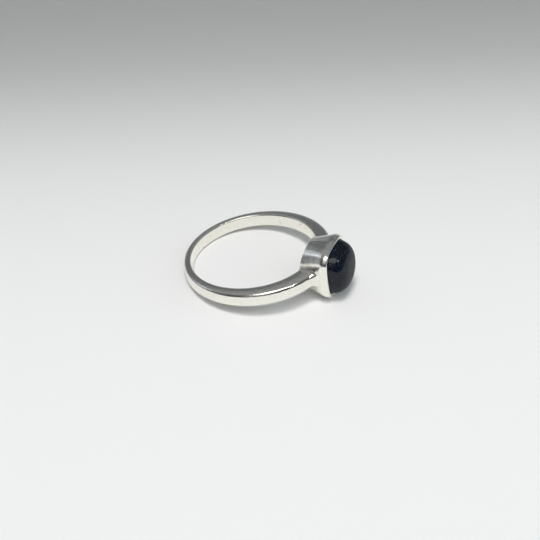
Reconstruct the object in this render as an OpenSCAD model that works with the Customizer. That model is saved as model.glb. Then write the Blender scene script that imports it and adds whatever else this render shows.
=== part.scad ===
// Silver finger ring with a cushion cabochon in a closed collet.
// Millimetres. The ring lies on its side as it comes to rest: the back of the shank and the
// collet's lower side touch the floor at z = 0, and the stone faces +X.
// The ring's own axes, used by every module below, are x from the hole's centre to the stone,
// y across the hole and z along the finger. ring_at_rest() tilts them into place.

/* [Finger hole] */
// Inside diameter of the ring
finger_d = 17.0; // [15:0.1:22]

/* [Shank] */
// Width of the shank along the finger
shank_w = 1.9; // [1.6:0.05:3]
// Thickness at the back of the hand
back_t = 1.0; // [0.9:0.05:1.6]
// Thickness a quarter turn from the back
side_t = 1.45; // [1.3:0.05:1.9]
// Thickness where the shank runs into the collet
shoulder_t = 2.05; // [1.9:0.05:2.6]
// Rounding of the outer edges
outer_round = 0.42; // [0.25:0.01:0.5]
// Rounding of the inner edges, for comfort
inner_round = 0.28; // [0.15:0.01:0.35]
// Radius of the blend from the shank's outer wall into the collet
blend_r = 0.8; // [0.4:0.05:1.2]

/* [Collet] */
// Height of the collet's rim above the finger hole's surface
collet_h = 2.7; // [2.4:0.05:3.5]
// Width of the collet's foot across the hole
foot_y = 5.7; // [5.2:0.05:6]
// Width of the collet's foot along the finger
foot_z = 6.8; // [6:0.05:7]
// Corner radius of the foot
foot_round = 2.25; // [1.5:0.05:2.5]
// Width of the rim across the hole
rim_y = 7.05; // [6.9:0.05:7.6]
// Width of the rim along the finger
rim_z = 7.3; // [6.9:0.05:7.8]
// Corner radius of the rim
rim_round = 1.95; // [1.5:0.05:2.4]
// How hollow the flare is: 1 is straight, more is like a trumpet
flare_power = 1.4; // [1:0.1:2.5]

/* [Bezel] */
// Height of the upright wall above the rim
wall_h = 0.5; // [0.3:0.05:0.8]
// How far the wall leans in over that height
wall_lean = 0.14; // [0:0.01:0.2]
// Radius of the rounded lip at the top of the wall
lip_r = 0.2; // [0.1:0.01:0.25]

/* [Stone] */
// Width of the cushion stone, the same both ways
stone_w = 6.2; // [5.8:0.05:6.3]
// Corner radius of the stone's outline
stone_round = 1.75; // [1.3:0.05:2.2]
// Height of the stone's straight side, all of it inside the bezel
girdle_h = 0.75; // [0.5:0.05:0.9]
// Height of the dome above the straight side
dome_h = 2.7; // [2:0.1:3.5]
// Fullness of the dome's side view: 2 is an ellipse
dome_power = 3.5; // [2:0.1:4]
// Clearance between stone and metal
stone_gap = 0.03; // [0.02:0.01:0.06]

/* [Hidden] */

finger_r = finger_d / 2;
rim_x = finger_r + collet_h;
// The collet's loft starts inside the finger hole, which then curves its foot
foot_x = finger_r - 0.6;
wall_top_x = rim_x + wall_h;
lip_x = wall_top_x + lip_r;
girdle_top_x = rim_x;
seat_x = girdle_top_x - girdle_h;
pocket_floor_x = seat_x - stone_gap;
apex_x = girdle_top_x + dome_h;
// Half width of the small flat at the very top of the dome
crown_half = 0.06;
// Metal left between the shank's blend and the stone's pocket
blend_cover = 0.1;
// How far the shank's arms run on inside the collet
arm_overlap = 0.25;

// Smoothness: steps in each rounded corner, rings up the flare, round the lip and up the dome
corner_steps = 12;
flare_steps = 8;
lip_steps = 4;
pocket_steps = 3;
dome_steps = 18;
round_fn = 96;

// The shank's outer wall on each side is an arc through the back, the quarter point and the shoulder
shoulder_angle = 20;
back_p = [-(finger_r + back_t), 0];
side_p = [0, finger_r + side_t];
shoulder_p = (finger_r + shoulder_t) * [cos(shoulder_angle), sin(shoulder_angle)];
arc_c = circle_centre(back_p, side_p, shoulder_p);
arc_r = norm(side_p - arc_c);
shank_end_y = foot_y / 2 - arm_overlap;

// Rest: the floor touches the rounded back edge of the shank and the collet's foot or rim,
// whichever lifts the ring more
back_edge = [-(finger_r + back_t - outer_round), -(shank_w / 2 - outer_round)];
rim_edge = [rim_x, -rim_z / 2];
foot_side = foot_y / 2 - foot_round;
foot_touch_x = sqrt(finger_r * finger_r - foot_side * foot_side);
foot_share = pow((foot_touch_x - foot_x) / (rim_x - foot_x), flare_power);
foot_edge = [foot_touch_x, -(foot_z + foot_share * (rim_z - foot_z)) / 2];
rest_tilt = max(lean_on(rim_edge), lean_on(foot_edge));
rest_lift = outer_round - back_edge[0] * sin(rest_tilt) - back_edge[1] * cos(rest_tilt);
rear_reach = back_edge[0] * cos(rest_tilt) + back_edge[1] * sin(rest_tilt) - outer_round;
front_reach = max([
    for (i = [0:dome_steps]) dome_x(i) * cos(rest_tilt) + stone_half(dome_x(i)) * sin(rest_tilt)
]);
rest_shift = -(rear_reach + front_reach) / 2;

// Tilt at which the floor touches both the shank's back edge and point p of the x-z plane
function lean_on(p) =
    let (run = p - back_edge)
    -asin(outer_round / norm(run)) - atan2(run[1], run[0]);

// Centre of the circle through three points of the plane
function circle_centre(p, q, r) =
    let (
        d = 2 * (p[0] * (q[1] - r[1]) + q[0] * (r[1] - p[1]) + r[0] * (p[1] - q[1])),
        p2 = p * p,
        q2 = q * q,
        r2 = r * r
    )
    [
        (p2 * (q[1] - r[1]) + q2 * (r[1] - p[1]) + r2 * (p[1] - q[1])) / d,
        (p2 * (r[0] - q[0]) + q2 * (p[0] - r[0]) + r2 * (q[0] - p[0])) / d
    ];

// One ring of a loft: a rectangle with round corners at height x, half widths a and b, radius r
function cushion_ring(x, a, b, r) = [
    for (corner = [0:3])
        let (
            sy = (corner == 0 || corner == 3) ? 1 : -1,
            sz = (corner < 2) ? 1 : -1
        )
        for (i = [0:corner_steps])
            let (t = 90 * corner + 90 * i / corner_steps)
            [x, sy * (a - r) + r * cos(t), sz * (b - r) + r * sin(t)]
];

// A closed solid through a list of rings with the same number of points
module loft(rings) {
    n = len(rings[0]);
    last = len(rings) - 1;
    points = [for (ring = rings) each ring];
    sides = [
        for (k = [0:last - 1], i = [0:n - 1])
            let (j = (i + 1) % n)
            each [
                [k * n + i, (k + 1) * n + i, (k + 1) * n + j],
                [k * n + i, (k + 1) * n + j, k * n + j]
            ]
    ];
    floor_face = [for (i = [0:n - 1]) i];
    top_face = [for (i = [0:n - 1]) last * n + n - 1 - i];
    polyhedron(points = points, faces = concat([floor_face], sides, [top_face]), convexity = 4);
}

// Collet ring at share t of the way from the foot to the rim
function collet_ring(t) =
    let (s = pow(t, flare_power))
    cushion_ring(
        foot_x + t * (rim_x - foot_x),
        (foot_y + s * (rim_y - foot_y)) / 2,
        (foot_z + s * (rim_z - foot_z)) / 2,
        foot_round + t * (rim_round - foot_round)
    );

// Bezel ring at height x, drawn in from the rim by inset
function bezel_ring(x, inset) =
    cushion_ring(x, rim_y / 2 - inset, rim_z / 2 - inset, rim_round - inset);

// Height of the dome's ring i above the hole's centre; the rings close up toward the crown
function dome_x(i) = girdle_top_x + dome_h * sin(90 * i / dome_steps);

// Half width of the stone at height x above the hole's centre
function stone_half(x) =
    let (s = max(x - girdle_top_x, 0) / dome_h)
    stone_w / 2 * pow(max(1 - pow(s, dome_power), 0), 1 / dome_power);

// Stone ring at height x, grown by a clearance; the corners round off toward the crown
function stone_ring(x, grow) =
    let (
        half = stone_half(x),
        s = max(x - girdle_top_x, 0) / dome_h,
        r = half * min(1, stone_round / (stone_w / 2) * (1 - s) + s)
    )
    cushion_ring(x, half + grow, half + grow, r + grow);

// Tilts and lifts the ring's own axes into the resting place
module ring_at_rest() {
    translate([rest_shift, 0, rest_lift])
        rotate([0, -rest_tilt, 0])
            children();
}

// Section of the shank at the arc's own radius, with round outer corners
module shank_section() {
    half = shank_w / 2;
    inner = finger_r - inner_round - 1;
    translate([inner, -half])
        square([arc_r - outer_round - inner, shank_w]);
    translate([inner, -half + outer_round])
        square([arc_r - inner, shank_w - 2 * outer_round]);
    for (side = [-1, 1])
        translate([arc_r - outer_round, side * (half - outer_round)])
            circle(r = outer_round, $fn = round_fn);
}

// One side of the shank, y above zero: a round arc about its own centre, ending inside the collet
module shank_side() {
    reach = 2 * arc_r + 2;
    difference() {
        translate([arc_c[0], arc_c[1], 0])
            rotate_extrude($fn = round_fn)
                shank_section();
        translate([-reach / 2, -reach, -shank_w])
            cube([reach, reach, 2 * shank_w]);
        translate([0, -shank_end_y, -shank_w])
            cube([reach, 2 * shank_end_y, 2 * shank_w]);
    }
}

// What the finger hole's two eased edges take away
module inner_easing() {
    half = shank_w / 2;
    for (side = [0, 1])
        mirror([0, 0, side])
            rotate_extrude($fn = round_fn)
                difference() {
                    translate([finger_r - inner_round, half - inner_round])
                        square([2 * inner_round, 2 * inner_round]);
                    translate([finger_r + inner_round, half - inner_round])
                        circle(r = inner_round, $fn = round_fn);
                    translate([finger_r + inner_round, half - 2 * inner_round])
                        square([inner_round, 4 * inner_round]);
                }
}

// Fills the corner between the shank's outer wall and the collet, as a hollow arc in plan
module shoulder_blend() {
    blend_w = shank_w - outer_round;
    side_y = (foot_y + rim_y) / 4;
    end_x = pocket_floor_x - blend_cover;
    centre_y = side_y + blend_r;
    centre_x = arc_c[0] + sqrt(pow(arc_r + blend_r, 2) - pow(centre_y - arc_c[1], 2));
    to_arc = [centre_x, centre_y] - arc_c;
    touch = arc_c + to_arc * arc_r / norm(to_arc);
    translate([0, 0, -blend_w / 2])
        linear_extrude(height = blend_w)
            difference() {
                polygon([
                    touch,
                    [end_x, centre_y],
                    [end_x, side_y - blend_r / 2],
                    touch - [blend_r, blend_r]
                ]);
                translate([centre_x, centre_y])
                    circle(r = blend_r, $fn = round_fn);
            }
}

// The whole shank, before the finger hole is cut
module shank() {
    difference() {
        for (side = [0, 1])
            mirror([0, side, 0])
                shank_side();
        cylinder(r = finger_r, h = 2 * shank_w, center = true, $fn = round_fn);
        inner_easing();
    }
    for (side = [0, 1])
        mirror([0, side, 0])
            shoulder_blend();
}

// Flared collet, the upright bezel wall with its round lip, and inside it the stone's pocket:
// one wall that runs up outside, over the lip and down to the seat, foot still uncut
module collet_blank() {
    loft(concat(
        [for (i = [0:flare_steps]) collet_ring(i / flare_steps)],
        [
            for (i = [0:lip_steps])
                let (a = 90 * i / lip_steps)
                bezel_ring(wall_top_x + lip_r * sin(a), wall_lean + lip_r * (1 - cos(a)))
        ],
        [
            for (i = [pocket_steps:-1:0])
                let (x = girdle_top_x + i / pocket_steps * (lip_x - girdle_top_x))
                stone_ring(x, stone_gap)
        ],
        [stone_ring(pocket_floor_x, stone_gap)]
    ));
}

// The collet with its foot curved to the finger hole
module collet() {
    difference() {
        collet_blank();
        cylinder(r = finger_r, h = 2 * rim_z, center = true, $fn = round_fn);
    }
}

module ring_body() {
    color("silver")
        ring_at_rest() {
            shank();
            collet();
        }
}

module stone() {
    color("#141a26")
        ring_at_rest()
            loft(concat(
                [stone_ring(seat_x, 0)],
                [
                    for (i = [0:dome_steps - 1])
                        stone_ring(dome_x(i), 0)
                ],
                [cushion_ring(apex_x, crown_half, crown_half, crown_half)]
            ));
}

ring_body();
stone();
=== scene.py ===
"""Polished silver ring with a dark blue tiger eye cabochon, lying on its side on a pale floor.

The ring's pieces are worked out in millimetres in the ring's own axes, as in the CAD source: x
from the finger hole's centre to the stone, y across the hole and z along the finger. place()
turns them into metres in the row frame.
"""

import math

import bpy
import numpy as np
from mathutils import Matrix, Vector


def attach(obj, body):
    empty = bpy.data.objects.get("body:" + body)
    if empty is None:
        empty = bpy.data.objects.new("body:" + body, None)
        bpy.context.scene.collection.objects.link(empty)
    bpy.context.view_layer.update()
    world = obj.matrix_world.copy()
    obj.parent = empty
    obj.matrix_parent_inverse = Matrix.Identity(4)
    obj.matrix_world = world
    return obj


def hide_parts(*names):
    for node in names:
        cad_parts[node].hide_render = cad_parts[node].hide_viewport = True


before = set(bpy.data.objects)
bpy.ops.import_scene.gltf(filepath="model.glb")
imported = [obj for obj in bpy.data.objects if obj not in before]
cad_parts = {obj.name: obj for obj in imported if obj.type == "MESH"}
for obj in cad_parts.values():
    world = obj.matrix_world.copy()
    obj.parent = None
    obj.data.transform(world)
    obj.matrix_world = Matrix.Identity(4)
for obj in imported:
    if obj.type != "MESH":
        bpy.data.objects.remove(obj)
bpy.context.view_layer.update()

MM = 0.001
QUARTER_TURN = math.pi / 2

# Finger hole and shank. TAPER is a power, and FACE_SWELL a share of the thickness
FINGER_R = 8.5
BACK_T, HEAD_T, TAPER = 1.0, 2.15, 1.475
BACK_W, HEAD_W = 1.86, 2.06
BACK_EDGE, HEAD_EDGE = 0.42, 0.6
INNER_EDGE = 0.24
FACE_SWELL = 0.03

# Blends of the shank's arms into the collet, and how deep and wide the arms end inside it
OUTER_PUSH, OUTER_REACH = 0.85, 1.4
TOP_PUSH, TOP_REACH = 0.22, 0.45
LEAST_REACH = 0.05
END_DEPTH, NEXT_DEPTH, END_SPREAD = 0.12, 0.03, 0.03
SEARCH_FROM, SEARCH_TO = math.radians(8), math.radians(60)
BLEND_END_DEG, BACK_DEG = 46, 180

# Collet and bezel. FOOT_X lies inside the finger hole's circle, below all of the foot, and the
# mesh rows, which start along the curved foot, come level at LEVEL_X
FOOT_SINK, LEVEL_RISE = 0.6, 0.15
FOOT_X = FINGER_R - FOOT_SINK
RIM_X = 11.2
LEVEL_X = RIM_X + LEVEL_RISE
FOOT_Y, FOOT_Z, FOOT_ROUND = 6.0, 6.8, 2.95
RIM_Y, RIM_Z, RIM_ROUND = 7.05, 7.3, 2.1
FLARE_POWER = 1.4
COLLET_SWELL = 0.05
RIM_SOFT = 0.14
FOOT_EDGE = 0.06
BORE_CLEAR = 0.002
WALL_H, WALL_LEAN = 0.5, 0.14
WALL_TOP = RIM_X + WALL_H
LIP_R, LIP_IN = 0.2, 0.1

# Stone
STONE_W, STONE_ROUND = 6.2, 1.75
GIRDLE_H, DOME_H, DOME_POWER = 0.75, 2.7, 3.5
STONE_GAP = 0.02

# Mesh columns per corner and per side, mesh rows, and rounds of the two searches
SHANK_LOOP, COLLET_LOOP, STONE_LOOP = (11, 9), (13, 13), (17, 9)
BLEND_ROWS, RUN_IN_ROWS, ARM_ROWS = 17, 17, 91
FOOT_SHARES = (0.02, 0.15, 0.3, 0.45, 0.6, 0.75, 0.88)
EVEN_SHARE, EASED_SHARE = 0.9, 0.1
EVEN_ROWS, EASED_ROWS = 25, 16
EDGE_ROWS, WALL_ROWS, LIP_ROWS, FOLD_ROWS, POCKET_ROWS = 5, 6, 9, 7, 6
DOME_ROWS = 61
BISECTIONS, FOOT_ROUNDS = 45, 30

# Resting place: the tilt about Y and the hole's centre in the row frame
REST_TILT = math.radians(8.0)
REST_CENTRE = np.array([-2.212132, 0.0, 2.208534])

# Patterns in cells per metre, which is 1000 over a cell's size in millimetres: buffing waves of
# 0.7 mm, hairlines 0.25 mm long and 0.05 mm wide, worn patches of 0.4 mm, fibres 1.4 mm long and
# 0.1 mm wide, clouds of 1.5 mm, flecks of 0.2 mm and felt of 0.1 mm. Turns are in radians
WAVE_CELLS = 1500.0
HAIRLINE_CELLS, HAIRLINE_TURN = (4000.0, 16000.0, 30000.0), (0.3, 0.2, 0.5)
WEAR_CELLS = 2600.0
FIBRE_CELLS, FIBRE_TURN = (9000.0, 700.0, 9000.0), (0.12, 0.0, 0.1)
CLOUD_CELLS = 650.0
FLECK_CELLS = 5500.0
PAPER_CELLS = 9000.0

# Depth of the bumps in metres
WAVE_DEPTH, HAIRLINE_DEPTH, PIT_DEPTH = 0.000022, 0.000006, 0.00012
SILK_DEPTH, PAPER_DEPTH = 0.00001, 0.00003

# Colours by the pattern's value
SILVER_TONES = [(0.32, "#efede4"), (0.5, "#f8f6ec"), (0.68, "#fcfbf3")]
CLOUD_TONES = [(0.35, "#080410"), (0.45, "#040510"), (0.55, "#050e14"), (0.65, "#090e1e")]
FIBRE_TONES = [(0.42, "#000000"), (0.52, "#04060b"), (0.6, "#0e1721"), (0.7, "#34424f")]
FLECK_COLOUR = "#6d7c84"

# Casting pores on the inner wall: place in the row frame and radius, in metres
PITS = [
    ((-0.010518, 0.000764, 0.000482), 0.00017),
    ((-0.002050, 0.008499, 0.002057), 0.00013),
    ((0.001447, 0.007624, 0.003171), 0.00012),
    ((0.002319, 0.007136, 0.003139), 0.00014),
]

# Sheet on the floor: its half width, and its painted shade by distance behind the ring, in metres:
# white round the ring and darker further back, where the light falls off
FLOOR_HALF = 1.2
SHEET_AWAY = (-0.46, 0.888, 0.0)
SHEET_FROM, SHEET_TO = -0.05, 0.15
PAINTED_FALLOFF_SHADES = [
    (0.0, "#f3f3f3"),
    (0.12, "#f3f3f3"),
    (0.25, "#f0f0f0"),
    (0.38, "#e5e5e5"),
    (0.49, "#cecece"),
    (0.6, "#b5b5b5"),
    (0.75, "#a8a8a8"),
    (1.0, "#a2a2a2"),
]

# Camera, fitted to the photo of 540 x 540 pixels: degrees, millimetres, and metres for the clip
CAM_AZIMUTH, CAM_ELEVATION, CAM_ROLL = 24.414, 39.118, 0.899
CAM_DISTANCE, LENS, SENSOR = 101.175, 50.0, 36.0
CAM_SHIFT_X, CAM_SHIFT_Y = -2.156, -2.083
CLIP_NEAR, CLIP_FAR = 0.005, 20.0

# Key lamp overhead and a little to the left, and fill lamp low on the right, blue-green as from
# a window: azimuth, elevation, distance, side, watts and colour
KEY = (-15, 78, 0.5, 0.14, 1.24, "#fffdfa")
FILL = (80, 25, 0.5, 0.3, 0.45, "#e2fbf6")

# Room's colour by the sine of the elevation, behind the ring and behind the camera, and where
# along the camera's level heading the one changes into the other
ROOM_FAR = [
    (0.0, "#a6aaae"),
    (0.24, "#9da1a5"),
    (0.36, "#707478"),
    (0.46, "#56595d"),
    (0.57, "#74777b"),
    (0.7, "#8a8d91"),
    (1.0, "#8e8e8e"),
]
ROOM_NEAR = [
    (0.0, "#505054"),
    (0.3, "#505054"),
    (0.6, "#47474b"),
    (0.8, "#66666a"),
    (1.0, "#8e8e8e"),
]
NEAR_UNTIL, FAR_FROM = -0.6, 0.15

# Panels of light: azimuth, elevation, half width and half height in degrees, the share of the
# radius over which they fade, and strength. The window is cut off below by its sill
SOFTBOX = (7, 63, 23, 21, 0.6, 2.6)
BULB = (49, 48, 3.4, 3.4, 0.4, 20.0)
SKIRT = (-12, 36, 24, 20, 1.0, 0.4)
WINDOW = (-110, 32, 24, 14, 1.0, 0.42)
LAMP_SPOT = (-106, 30, 6, 4, 1.0, 0.8)
SILL_DEG, CLEAR_DEG = 8, 26
WHITE, DAYLIGHT = "#ffffff", "#e6ecff"


def place(points):
    """Own axes in millimetres to the row frame in metres.

    x' = x cos t - z sin t and z' = x sin t + z cos t, then the hole's centre is added.
    """
    c, s = math.cos(REST_TILT), math.sin(REST_TILT)
    x, y, z = points[..., 0], points[..., 1], points[..., 2]
    turned = np.stack([x * c - z * s, y, x * s + z * c], -1)
    return (turned + REST_CENTRE) * MM


def eased(n):
    """n numbers from 0 to 1, closer together at both ends: half of 1 minus a cosine."""
    return (1 - np.cos(np.linspace(0, math.pi, n))) / 2


def cushion_loop(per_corner, per_side):
    """Columns once round a rectangle with round corners: (u, v, n_u, n_v, slide).

    u and v, from -1 to 1, say where between the four corners' centres a column belongs, n_u and
    n_v are its outward normal, and slide is 1 on the corners and goes to -1 along each side. The
    first quarter is the corner at u = v = 1 and the side after it, and each later one is the one
    before it turned by a quarter, (u, v) to (-v, u).
    """
    corner, side = np.ones(per_corner), np.ones(per_side)
    slide = np.concatenate([corner, 1 - 2 * eased(per_side + 2)[1:-1]])
    u, v = slide, np.concatenate([corner, side])
    quarters = []
    for start in QUARTER_TURN * np.arange(4):
        end = start + QUARTER_TURN
        turn = np.linspace(start, end, per_corner)
        n_u = np.concatenate([np.cos(turn), side * round(math.cos(end))])
        n_v = np.concatenate([np.sin(turn), side * round(math.sin(end))])
        quarters.append([u, v, n_u, n_v, slide])
        u, v = -v, u
    return np.concatenate(quarters, axis=1)


def ring_points(loop, x, half_y, half_z, corner, swell=0.0):
    """Points of level rings at height x, of two half widths and a corner radius.

    y = u (half width - radius) + n_y radius, z likewise, and each side stands out along its
    normal by swell (1 - slide^2)^2. Every measure is a number or an array over rows and columns.
    """
    u, v, n_y, n_z, slide = loop
    out = corner + swell * (1 - slide**2) ** 2
    y = u * (half_y - corner) + n_y * out
    z = v * (half_z - corner) + n_z * out
    return np.stack([np.broadcast_to(x, y.shape), y, z], -1)


def soft_min(f, g, width):
    """The smaller of f and g, with the corner between them rounded over width.

    It is the minimum less h^2 width / 4, where h is 1 - |f - g| / width, or 0 if that is less.
    """
    h = np.maximum(width - np.abs(f - g), 0) / width
    return np.minimum(f, g) - h * h * width / 4


def collet_half(x, foot, rim):
    """Half width of the collet's outside at height x.

    It grows from foot to rim with the power FLARE_POWER of the height, and then follows a
    straight wall that leans in.
    """
    t = np.clip((x - FOOT_X) / (RIM_X - FOOT_X), 0, None)
    flare = (foot + t**FLARE_POWER * (rim - foot)) / 2
    wall = rim / 2 - WALL_LEAN * (x - RIM_X) / WALL_H
    return soft_min(flare, wall, RIM_SOFT)


def collet_corner(x):
    """Corner radius of the collet's outside at height x.

    It goes in a straight line from foot to rim, and then shrinks by the wall's lean.
    """
    t = np.clip((x - FOOT_X) / (RIM_X - FOOT_X), 0, None)
    flare = FOOT_ROUND + t * (RIM_ROUND - FOOT_ROUND)
    wall = RIM_ROUND - WALL_LEAN * (x - RIM_X) / WALL_H
    return soft_min(flare, wall, RIM_SOFT)


def collet_ring(loop, x):
    """Rings of the collet's outside at heights x."""
    half_y, half_z = collet_half(x, FOOT_Y, RIM_Y), collet_half(x, FOOT_Z, RIM_Z)
    return ring_points(loop, x, half_y, half_z, collet_corner(x), COLLET_SWELL)


def stone_half(x):
    """Half width of the stone at height x.

    It is constant up the girdle, and then a superellipse: half width (1 - s^p)^(1/p), s being
    the share of the dome's height.
    """
    s = np.clip((x - RIM_X) / DOME_H, 0, 1)
    return STONE_W / 2 * (1 - s**DOME_POWER) ** (1 / DOME_POWER)


def stone_corner(x):
    """Corner radius of the stone at height x: its share of the half width goes evenly to 1."""
    s = np.clip((x - RIM_X) / DOME_H, 0, 1)
    return stone_half(x) * (STONE_ROUND / (STONE_W / 2) * (1 - s) + s)


def stone_ring(loop, x, grow=0.0):
    """Rings of the stone's outside at heights x, or of a pocket that is wider by grow all round."""
    half = stone_half(x) + grow
    return ring_points(loop, x, half, half, stone_corner(x) + grow)


def shank_point(theta, loop, out):
    """Points of the shank at angle theta from the stone, pushed along the section's normal by out.

    Thickness, width and outer edge radius follow g = ((1 + cos theta) / 2)^TAPER from back to
    head. The section is a rectangle with round corners, its inner side on the finger hole's
    circle. Its top and bottom faces swell by FACE_SWELL (1 - slide^2) of its flat thickness.
    """
    u, v, n_out, n_up, slide = loop
    g = ((1 + np.cos(theta)) / 2) ** TAPER
    thick = BACK_T + (HEAD_T - BACK_T) * g
    width = BACK_W + (HEAD_W - BACK_W) * g
    outer = BACK_EDGE + (HEAD_EDGE - BACK_EDGE) * g
    share = (1 + u) / 2
    edge = INNER_EDGE + (outer - INNER_EDGE) * share
    low, high = FINGER_R + INNER_EDGE, FINGER_R + thick - outer
    swell = FACE_SWELL * (high - low) * (1 - slide**2)
    radius = low + (high - low) * share + (edge + out) * n_out
    z = v * (width / 2 - edge) + (edge + out + swell) * n_up
    return np.stack([radius * np.cos(theta), radius * np.sin(theta), z], -1)


def shank_half(loop):
    """Rows of the shank from the collet's side to the back of the hand, on the side y > 0.

    Beside the collet each column ends in a quarter of an ellipse: pushed out by push (1 - cos q)
    where it is reach (1 - sin q) away from the collet's wall, q from 0 to a quarter turn.
    Bisection finds the angle at which the pushed-out point is that far from the wall. Two more
    rows lie inside the collet, where they close the arm.
    """
    n_out, n_up = loop[2], loop[3]
    outward = np.maximum(n_out, 0) ** 2
    push = OUTER_PUSH * outward + TOP_PUSH * n_up**2
    reach = np.maximum(OUTER_REACH * outward + TOP_REACH * n_up**2, LEAST_REACH)
    q = np.linspace(QUARTER_TURN, 0, BLEND_ROWS)[:, None]
    end_out = push + END_SPREAD * (push > 0)
    out = np.concatenate([[end_out, push], push * (1 - np.cos(q))])
    depths = -np.array([END_DEPTH, NEXT_DEPTH])[:, None] * np.ones_like(push)
    away = np.concatenate([depths, reach * (1 - np.sin(q))])
    low = np.full(out.shape, SEARCH_FROM)
    high = np.full(out.shape, SEARCH_TO)
    for _ in range(BISECTIONS):
        middle = (low + high) / 2
        point = shank_point(middle, loop, out)
        beyond = point[..., 1] - collet_half(point[..., 0], FOOT_Y, RIM_Y) > away
        high = np.where(beyond, middle, high)
        low = np.where(beyond, low, middle)
    blend = shank_point(high, loop, out)
    start, end = high[-1], math.radians(BLEND_END_DEG)
    run_in = start + (end - start) * np.linspace(0, 1, RUN_IN_ROWS)[1:, None]
    around = np.radians(np.linspace(BLEND_END_DEG, BACK_DEG, ARM_ROWS))[1:, None] * np.ones_like(push)
    arm = shank_point(np.concatenate([run_in, around]), loop, 0)
    return np.concatenate([blend, arm])


def mesh_from_grid(name, grid):
    """A mesh object from a grid of points (rows, columns, 3), closed along its columns.

    One face closes the first row and one the last.
    """
    rows, columns = grid.shape[:2]
    index = np.arange(rows * columns).reshape(rows, columns)
    ahead = np.roll(index, -1, axis=1)
    quads = np.stack([index[:-1], ahead[:-1], ahead[1:], index[1:]], -1).reshape(-1, 4).tolist()
    ends = [index[0][::-1].tolist(), index[-1].tolist()]
    mesh = bpy.data.meshes.new(name)
    mesh.from_pydata(place(grid).reshape(-1, 3), [], quads + ends)
    mesh.polygons.foreach_set("use_smooth", np.ones(len(mesh.polygons), dtype=bool))
    mesh.update()
    piece = bpy.data.objects.new(name, mesh)
    bpy.context.scene.collection.objects.link(piece)
    return piece


def make_shank():
    """The silver shank: shank_half and its mirror image as one tube, closed inside the collet."""
    half = shank_half(cushion_loop(*SHANK_LOOP))
    mirrored = half[-2::-1] * np.array([1, -1, 1])
    return mesh_from_grid("shank", np.concatenate([half, mirrored])[:, ::-1])


def make_collet():
    """The collet, its bezel wall and lip, and the pocket under the stone, as one closed surface.

    The foot lies on the finger hole's cylinder, x = sqrt(R^2 - y^2), scaled out from a point to
    its outline, which is found where the collet's ring meets that cylinder. A quarter circle
    turns it into the side. Rings rise up the side and the wall and go over the lip in another
    quarter circle. The fold goes down to the stone in a quarter ellipse, and the pocket lies
    beside and under it.
    """
    loop = cushion_loop(*COLLET_LOOP)
    bore = FINGER_R + BORE_CLEAR
    foot_x = np.full(loop.shape[1], FINGER_R)
    for _ in range(FOOT_ROUNDS):
        outline = collet_ring(loop, foot_x)
        foot_x = np.sqrt(bore**2 - outline[..., 1] ** 2)
    foot_y, foot_z = outline[..., 1], outline[..., 2]

    share = np.array(FOOT_SHARES)[:, None]
    y, z = foot_y * share, foot_z * share
    foot = np.stack([np.sqrt(bore**2 - y**2), y, z], -1)

    turn = np.linspace(0, QUARTER_TURN, EDGE_ROWS)[:, None]
    share = 1 - FOOT_EDGE * (1 - np.sin(turn)) / np.hypot(foot_y, foot_z)
    y, z = foot_y * share, foot_z * share
    rise = FOOT_EDGE * (1 - np.cos(turn))
    edge = np.stack([np.sqrt(bore**2 - y**2) + rise, y, z], -1)

    start = foot_x + FOOT_EDGE
    even = np.linspace(0, EVEN_SHARE, EVEN_ROWS)[1:]
    closer = EVEN_SHARE + EASED_SHARE * eased(EASED_ROWS)[1:]
    share = np.concatenate([even, closer])[:, None]
    side = collet_ring(loop, start + share * (LEVEL_X - start))
    wall = collet_ring(loop, np.linspace(LEVEL_X, WALL_TOP, WALL_ROWS)[1:-1, None])

    turn = np.linspace(0, QUARTER_TURN, LIP_ROWS)[:, None]
    inset = WALL_LEAN + LIP_R * (1 - np.cos(turn))
    x = WALL_TOP + LIP_R * np.sin(turn)
    lip = ring_points(loop, x, RIM_Y / 2 - inset, RIM_Z / 2 - inset, RIM_ROUND - inset, COLLET_SWELL)

    crest, low = lip[-1], WALL_TOP + LIP_R - LIP_IN
    turn = np.linspace(0, QUARTER_TURN, FOLD_ROWS)[1:, None, None]
    fold = crest + (stone_ring(loop, low, STONE_GAP) - crest) * np.sin(turn)
    fold[..., 0] = WALL_TOP + LIP_R - LIP_IN * (1 - np.cos(turn[..., 0]))

    x = np.linspace(low, RIM_X - GIRDLE_H - STONE_GAP, POCKET_ROWS)[1:, None]
    pocket = stone_ring(loop, x, STONE_GAP)
    return mesh_from_grid("collet", np.concatenate([foot, edge, side, wall, lip, fold, pocket]))


def make_stone():
    """The cushion cabochon: rings up the girdle and over the dome, closed at both ends."""
    turn = np.linspace(0, QUARTER_TURN, DOME_ROWS)[:-1]
    girdle = [RIM_X - GIRDLE_H, RIM_X - GIRDLE_H / 2]
    x = np.concatenate([girdle, RIM_X + DOME_H * np.sin(turn)])[:, None]
    return mesh_from_grid("stone_dome", stone_ring(cushion_loop(*STONE_LOOP), x))


def linear(code):
    """An sRGB hex colour such as #8090a0 as Blender's linear colour, with an alpha of 1."""
    values = [int(code[i : i + 2], 16) / 255 for i in (1, 3, 5)]
    red, green, blue = (v / 12.92 if v <= 0.04045 else ((v + 0.055) / 1.055) ** 2.4 for v in values)
    return (red, green, blue, 1.0)


def add(tree, kind, settings=None, **links):
    """Adds a node with its settings and links.

    settings holds the node's properties and its inputs by name or number, and an input takes a
    value or another node's output. links are inputs by name.
    """
    node = tree.nodes.new(kind)
    for key, value in (settings or {}).items():
        if not isinstance(key, int) and key not in node.inputs:
            setattr(node, key, value)
        elif isinstance(value, bpy.types.NodeSocket):
            tree.links.new(value, node.inputs[key])
        else:
            node.inputs[key].default_value = value
    for key, output in links.items():
        tree.links.new(output, node.inputs[key])
    return node


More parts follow.
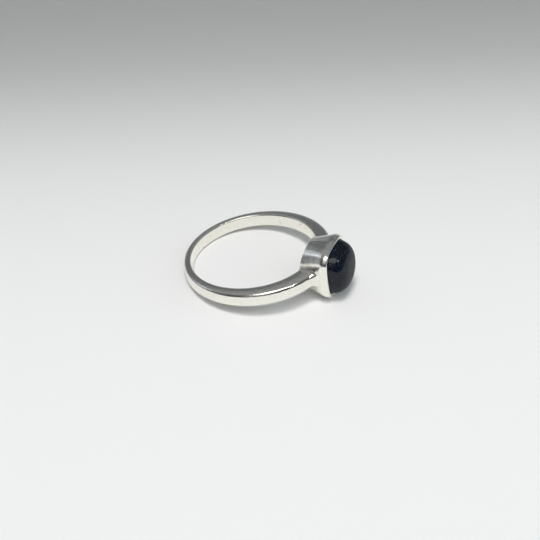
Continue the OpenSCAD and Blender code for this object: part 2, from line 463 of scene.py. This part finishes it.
def ramp_colours(ramp, stops):
    """Gives a colour ramp its stops, a list of (position, sRGB hex), blended as a spline."""
    elements = ramp.color_ramp.elements
    ramp.color_ramp.interpolation = "B_SPLINE"
    while len(elements) < len(stops):
        elements.new(0.5)
    for element, (position, colour) in zip(elements, stops):
        element.position = position
        element.color = linear(colour)


def new_material(name, **values):
    """A material with its Principled shader, whose sockets take the given values.

    Returns the material, its node tree and the shader.
    """
    material = bpy.data.materials.new(name)
    material.use_nodes = True
    tree = material.node_tree
    shader = tree.nodes["Principled BSDF"]
    for key, value in values.items():
        shader.inputs[key.replace("_", " ")].default_value = value
    return material, tree, shader


def silver_material():
    """Sterling silver, cast, tumbled and buffed by hand: a warm white mirror.

    The buffing wheel leaves faint waves, which bend the reflections, and hairlines, which blur
    them. The waves are drawn 0.7 mm long and the hairlines 0.05 mm wide, coarser than real ones,
    so that they show. Worn patches are a little greyer, and casting pores stay on the inner
    wall, where no buff reaches.
    """
    material, tree, shader = new_material("buffed_sterling_silver", Metallic=1.0)
    coords = add(tree, "ShaderNodeTexCoord").outputs["Object"]

    wear = add(
        tree,
        "ShaderNodeTexNoise",
        {"Scale": WEAR_CELLS, "Detail": 6.0, "Roughness": 0.7},
        Vector=coords,
    )
    tone = add(tree, "ShaderNodeValToRGB", Fac=wear.outputs["Fac"])
    ramp_colours(tone, SILVER_TONES)
    tree.links.new(tone.outputs["Color"], shader.inputs["Base Color"])

    along = add(
        tree,
        "ShaderNodeMapping",
        {"Scale": HAIRLINE_CELLS, "Rotation": HAIRLINE_TURN},
        Vector=coords,
    )
    hairlines = add(
        tree,
        "ShaderNodeTexNoise",
        {"Scale": 1.0, "Detail": 4.0, "Roughness": 0.65},
        Vector=along.outputs["Vector"],
    )
    polish = add(
        tree,
        "ShaderNodeMapRange",
        {"From Min": 0.35, "From Max": 0.75, "To Min": 0.04, "To Max": 0.14},
        Value=hairlines.outputs["Fac"],
    )
    tree.links.new(polish.outputs["Result"], shader.inputs["Roughness"])

    waves = add(
        tree,
        "ShaderNodeTexNoise",
        {"Scale": WAVE_CELLS, "Detail": 2.0, "Roughness": 0.5},
        Vector=coords,
    )
    waved = add(
        tree,
        "ShaderNodeBump",
        {"Strength": 1.0, "Distance": WAVE_DEPTH},
        Height=waves.outputs["Fac"],
    )
    scratched = add(
        tree,
        "ShaderNodeBump",
        {"Strength": 1.0, "Distance": HAIRLINE_DEPTH},
        Height=hairlines.outputs["Fac"],
        Normal=waved.outputs["Normal"],
    )
    level = 1.0
    for spot, radius in PITS:
        away = add(
            tree,
            "ShaderNodeVectorMath",
            {"operation": "DISTANCE", 1: spot},
            Vector=coords,
        )
        hole = add(
            tree,
            "ShaderNodeMapRange",
            {"interpolation_type": "SMOOTHSTEP", "From Min": 0.0, "From Max": radius},
            Value=away.outputs["Value"],
        )
        lower = {"operation": "MULTIPLY", 0: level, 1: hole.outputs["Result"]}
        level = add(tree, "ShaderNodeMath", lower).outputs[0]
    pitted = add(
        tree,
        "ShaderNodeBump",
        {"Strength": 1.0, "Distance": PIT_DEPTH},
        Height=level,
        Normal=scratched.outputs["Normal"],
    )
    tree.links.new(pitted.outputs["Normal"], shader.inputs["Normal"])
    return material


def stone_material():
    """Blue tiger eye (hawk's eye), cut as a cabochon and polished to a gloss.

    The polished skin is the shader's coat. Under it lie silky parallel fibres of navy, teal and
    plum, which run across the finger and give no reflection of their own, so the stone looks
    nearly black. Real fibres are some 0.02 mm wide and are drawn 0.1 mm wide, so that they show.
    """
    material, tree, shader = new_material(
        "blue_tiger_eye",
        Roughness=0.42,
        IOR=1.54,
        Specular_IOR_Level=0.0,
        Coat_Weight=0.33,
        Coat_Roughness=0.05,
        Coat_IOR=1.8,
    )
    coords = add(tree, "ShaderNodeTexCoord").outputs["Object"]

    along = add(
        tree,
        "ShaderNodeMapping",
        {"Scale": FIBRE_CELLS, "Rotation": FIBRE_TURN},
        Vector=coords,
    )
    fibres = add(
        tree,
        "ShaderNodeTexNoise",
        {"Scale": 1.0, "Detail": 5.0, "Roughness": 0.6},
        Vector=along.outputs["Vector"],
    )
    fibre_tone = add(tree, "ShaderNodeValToRGB", Fac=fibres.outputs["Fac"])
    ramp_colours(fibre_tone, FIBRE_TONES)
    clouds = add(
        tree,
        "ShaderNodeTexNoise",
        {"Scale": CLOUD_CELLS, "Detail": 3.0, "Roughness": 0.55},
        Vector=coords,
    )
    cloud_tone = add(tree, "ShaderNodeValToRGB", Fac=clouds.outputs["Fac"])
    ramp_colours(cloud_tone, CLOUD_TONES)
    body = add(tree, "ShaderNodeMix", {"data_type": "RGBA", "blend_type": "ADD", "Factor": 1.0})
    tree.links.new(cloud_tone.outputs["Color"], body.inputs["A"])
    tree.links.new(fibre_tone.outputs["Color"], body.inputs["B"])

    grains = add(
        tree,
        "ShaderNodeTexNoise",
        {"Scale": FLECK_CELLS, "Detail": 1.0},
        Vector=coords,
    )
    fleck = add(
        tree,
        "ShaderNodeMapRange",
        {"From Min": 0.7, "From Max": 0.78},
        Value=grains.outputs["Fac"],
    )
    flecked = add(tree, "ShaderNodeMix", {"data_type": "RGBA", "B": linear(FLECK_COLOUR)})
    tree.links.new(fleck.outputs["Result"], flecked.inputs["Factor"])
    tree.links.new(body.outputs["Result"], flecked.inputs["A"])
    tree.links.new(flecked.outputs["Result"], shader.inputs["Base Color"])

    silk = add(
        tree,
        "ShaderNodeBump",
        {"Strength": 0.6, "Distance": SILK_DEPTH},
        Height=fibres.outputs["Fac"],
    )
    tree.links.new(silk.outputs["Normal"], shader.inputs["Normal"])
    return material


def paper_material():
    """Matt paper with painted shade: white round the ring and light grey further back, where the
    light falls off.

    Its felt of fibres is drawn as shallow lumps of 0.1 mm.
    """
    material, tree, shader = new_material("paper_with_painted_falloff", Roughness=0.85)
    coords = add(tree, "ShaderNodeTexCoord").outputs["Object"]
    behind = add(
        tree,
        "ShaderNodeVectorMath",
        {"operation": "DOT_PRODUCT", 1: SHEET_AWAY},
        Vector=coords,
    )
    share = add(
        tree,
        "ShaderNodeMapRange",
        {"From Min": SHEET_FROM, "From Max": SHEET_TO},
        Value=behind.outputs["Value"],
    )
    # Painted shade: the paper's colour darkens with distance behind the ring, standing in for the
    # light falling off
    shade = add(tree, "ShaderNodeValToRGB", Fac=share.outputs["Result"])
    ramp_colours(shade, PAINTED_FALLOFF_SHADES)
    tree.links.new(shade.outputs["Color"], shader.inputs["Base Color"])
    lumps = add(
        tree,
        "ShaderNodeTexNoise",
        {"Scale": PAPER_CELLS, "Detail": 3.0},
        Vector=coords,
    )
    felt = add(
        tree,
        "ShaderNodeBump",
        {"Strength": 0.05, "Distance": PAPER_DEPTH},
        Height=lumps.outputs["Fac"],
    )
    tree.links.new(felt.outputs["Normal"], shader.inputs["Normal"])
    return material


def make_floor():
    """The floor: one level square with the ring at its middle."""
    half = FLOOR_HALF
    corners = [(-half, -half, 0), (half, -half, 0), (half, half, 0), (-half, half, 0)]
    mesh = bpy.data.meshes.new("floor")
    mesh.from_pydata(corners, [], [(0, 1, 2, 3)])
    floor = bpy.data.objects.new("floor", mesh)
    bpy.context.scene.collection.objects.link(floor)
    return floor


def make_camera():
    """The camera: it looks along forward and is turned about it by the roll.

    Its eye is CAM_DISTANCE back from the hole's centre, which the two shifts keep off the
    picture's middle.
    """
    azimuth, elevation, roll = (math.radians(v) for v in (CAM_AZIMUTH, CAM_ELEVATION, CAM_ROLL))
    across = math.cos(elevation)
    forward = Vector((-math.sin(azimuth) * across, math.cos(azimuth) * across, -math.sin(elevation)))
    level = Vector((math.cos(azimuth), math.sin(azimuth), 0))
    down = forward.cross(level)
    right = math.cos(roll) * level + math.sin(roll) * down
    lower = -math.sin(roll) * level + math.cos(roll) * down
    eye = Vector(REST_CENTRE) - CAM_DISTANCE * forward - CAM_SHIFT_X * right - CAM_SHIFT_Y * lower
    data = bpy.data.cameras.new("camera")
    data.lens = LENS
    data.sensor_width = SENSOR
    data.clip_start = CLIP_NEAR
    data.clip_end = CLIP_FAR
    camera = bpy.data.objects.new("camera", data)
    bpy.context.scene.collection.objects.link(camera)
    turn = Matrix((right, -lower, -forward)).transposed()
    camera.matrix_world = Matrix.Translation(eye * MM) @ turn.to_4x4()
    bpy.context.scene.camera = camera


def toward_direction(azimuth_deg, elevation_deg):
    """Unit vector from the ring: azimuth 0 is the camera's side and 90 is to its right."""
    a = math.radians(CAM_AZIMUTH + azimuth_deg)
    e = math.radians(elevation_deg)
    return Vector((math.sin(a) * math.cos(e), -math.cos(a) * math.cos(e), math.sin(e)))


def area_light(name, azimuth_deg, elevation_deg, distance, side, power, colour):
    """A square lamp that faces the ring from a direction and stays out of the reflections."""
    direction = toward_direction(azimuth_deg, elevation_deg)
    light = bpy.data.lights.new(name, "AREA")
    light.shape = "SQUARE"
    light.size = side
    light.energy = power
    light.color = linear(colour)[:3]
    lamp = bpy.data.objects.new(name, light)
    lamp.location = direction * distance
    lamp.rotation_mode = "QUATERNION"
    lamp.rotation_quaternion = direction.to_track_quat("Z", "Y")
    lamp.visible_glossy = False
    bpy.context.scene.collection.objects.link(lamp)


def light_panel(tree, direction, azimuth_deg, elevation_deg, half_width, half_height, edge, strength):
    """Brightness of a soft oval panel in the room by direction.

    It is strength inside and fades to 0 across the outer share edge of the oval's radius. That
    radius is the length of (u / half width, v / half height), u and v being the direction's
    share along the panel's level and upright axes. Only the panel's own side of the room counts.
    """
    centre = toward_direction(azimuth_deg, elevation_deg)
    level = Vector((0, 0, 1)).cross(centre).normalized()
    upright = centre.cross(level)
    squares = []
    for axis, half in ((level, half_width), (upright, half_height)):
        scaled = axis / math.sin(math.radians(half))
        along = add(
            tree,
            "ShaderNodeVectorMath",
            {"operation": "DOT_PRODUCT", 1: scaled},
            Vector=direction,
        )
        squared = {"operation": "POWER", 0: along.outputs["Value"], 1: 2.0}
        squares.append(add(tree, "ShaderNodeMath", squared).outputs[0])
    radius = add(tree, "ShaderNodeMath", {"operation": "ADD", 0: squares[0], 1: squares[1]})
    fade = add(
        tree,
        "ShaderNodeMapRange",
        {
            "interpolation_type": "SMOOTHSTEP",
            "From Min": 1.0,
            "From Max": (1 - edge) ** 2,
            "To Max": strength,
        },
        Value=radius.outputs[0],
    )
    facing = add(
        tree,
        "ShaderNodeVectorMath",
        {"operation": "DOT_PRODUCT", 1: centre},
        Vector=direction,
    )
    own_side = add(
        tree,
        "ShaderNodeMath",
        {"operation": "GREATER_THAN", 0: facing.outputs["Value"], 1: 0.0},
    )
    lit = {"operation": "MULTIPLY", 0: fade.outputs["Result"], 1: own_side.outputs[0]}
    return add(tree, "ShaderNodeMath", lit).outputs[0]


def make_room():
    """The studio round the ring, as light by direction.

    It is dim behind the camera and lighter behind the ring, with a softbox overhead and its dim
    skirt, a small bulb on the right, and a window with a lamp in it on the left.
    """
    world = bpy.data.worlds.new("studio")
    bpy.context.scene.world = world
    world.use_nodes = True
    tree = world.node_tree
    direction = add(tree, "ShaderNodeTexCoord").outputs["Generated"]
    height = add(tree, "ShaderNodeSeparateXYZ", Vector=direction).outputs["Z"]

    azimuth = math.radians(CAM_AZIMUTH)
    heading = (-math.sin(azimuth), math.cos(azimuth), 0.0)
    ahead = add(
        tree,
        "ShaderNodeVectorMath",
        {"operation": "DOT_PRODUCT", 1: heading},
        Vector=direction,
    )
    share = add(
        tree,
        "ShaderNodeMapRange",
        {"interpolation_type": "SMOOTHSTEP", "From Min": NEAR_UNTIL, "From Max": FAR_FROM},
        Value=ahead.outputs["Value"],
    )
    near_side = add(tree, "ShaderNodeValToRGB", Fac=height)
    ramp_colours(near_side, ROOM_NEAR)
    far_side = add(tree, "ShaderNodeValToRGB", Fac=height)
    ramp_colours(far_side, ROOM_FAR)
    room = add(tree, "ShaderNodeMix", {"data_type": "RGBA"})
    tree.links.new(share.outputs["Result"], room.inputs["Factor"])
    tree.links.new(near_side.outputs["Color"], room.inputs["A"])
    tree.links.new(far_side.outputs["Color"], room.inputs["B"])

    softbox = light_panel(tree, direction, *SOFTBOX)
    bulb = light_panel(tree, direction, *BULB)
    skirt = light_panel(tree, direction, *SKIRT)
    glow = light_panel(tree, direction, *WINDOW)
    lamp_spot = light_panel(tree, direction, *LAMP_SPOT)
    above_sill = add(
        tree,
        "ShaderNodeMapRange",
        {
            "interpolation_type": "SMOOTHSTEP",
            "From Min": math.sin(math.radians(SILL_DEG)),
            "From Max": math.sin(math.radians(CLEAR_DEG)),
        },
        Value=height,
    )
    cut_off = {"operation": "MULTIPLY", 0: glow, 1: above_sill.outputs["Result"]}
    window = add(tree, "ShaderNodeMath", cut_off).outputs[0]

    light = room.outputs["Result"]
    panels = [(softbox, WHITE), (bulb, WHITE), (skirt, WHITE), (window, DAYLIGHT), (lamp_spot, WHITE)]
    for brightness, colour in panels:
        scaled = {"operation": "SCALE", 0: linear(colour)[:3], "Scale": brightness}
        lit = add(tree, "ShaderNodeVectorMath", scaled).outputs["Vector"]
        total = {"operation": "ADD", 0: light, 1: lit}
        light = add(tree, "ShaderNodeVectorMath", total).outputs["Vector"]
    tree.links.new(light, tree.nodes["Background"].inputs["Color"])


make_camera()

shank = make_shank()
collet = make_collet()
stone = make_stone()

silver = silver_material()
for piece in (shank, collet):
    piece.data.materials.append(silver)
    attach(piece, "root")
    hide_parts("ring_body")
stone.data.materials.append(stone_material())
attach(stone, "root")
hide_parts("stone")

floor = make_floor()
floor.data.materials.append(paper_material())

area_light("key", *KEY)
area_light("fill", *FILL)
make_room()
bpy.context.scene.view_settings.view_transform = "Standard"
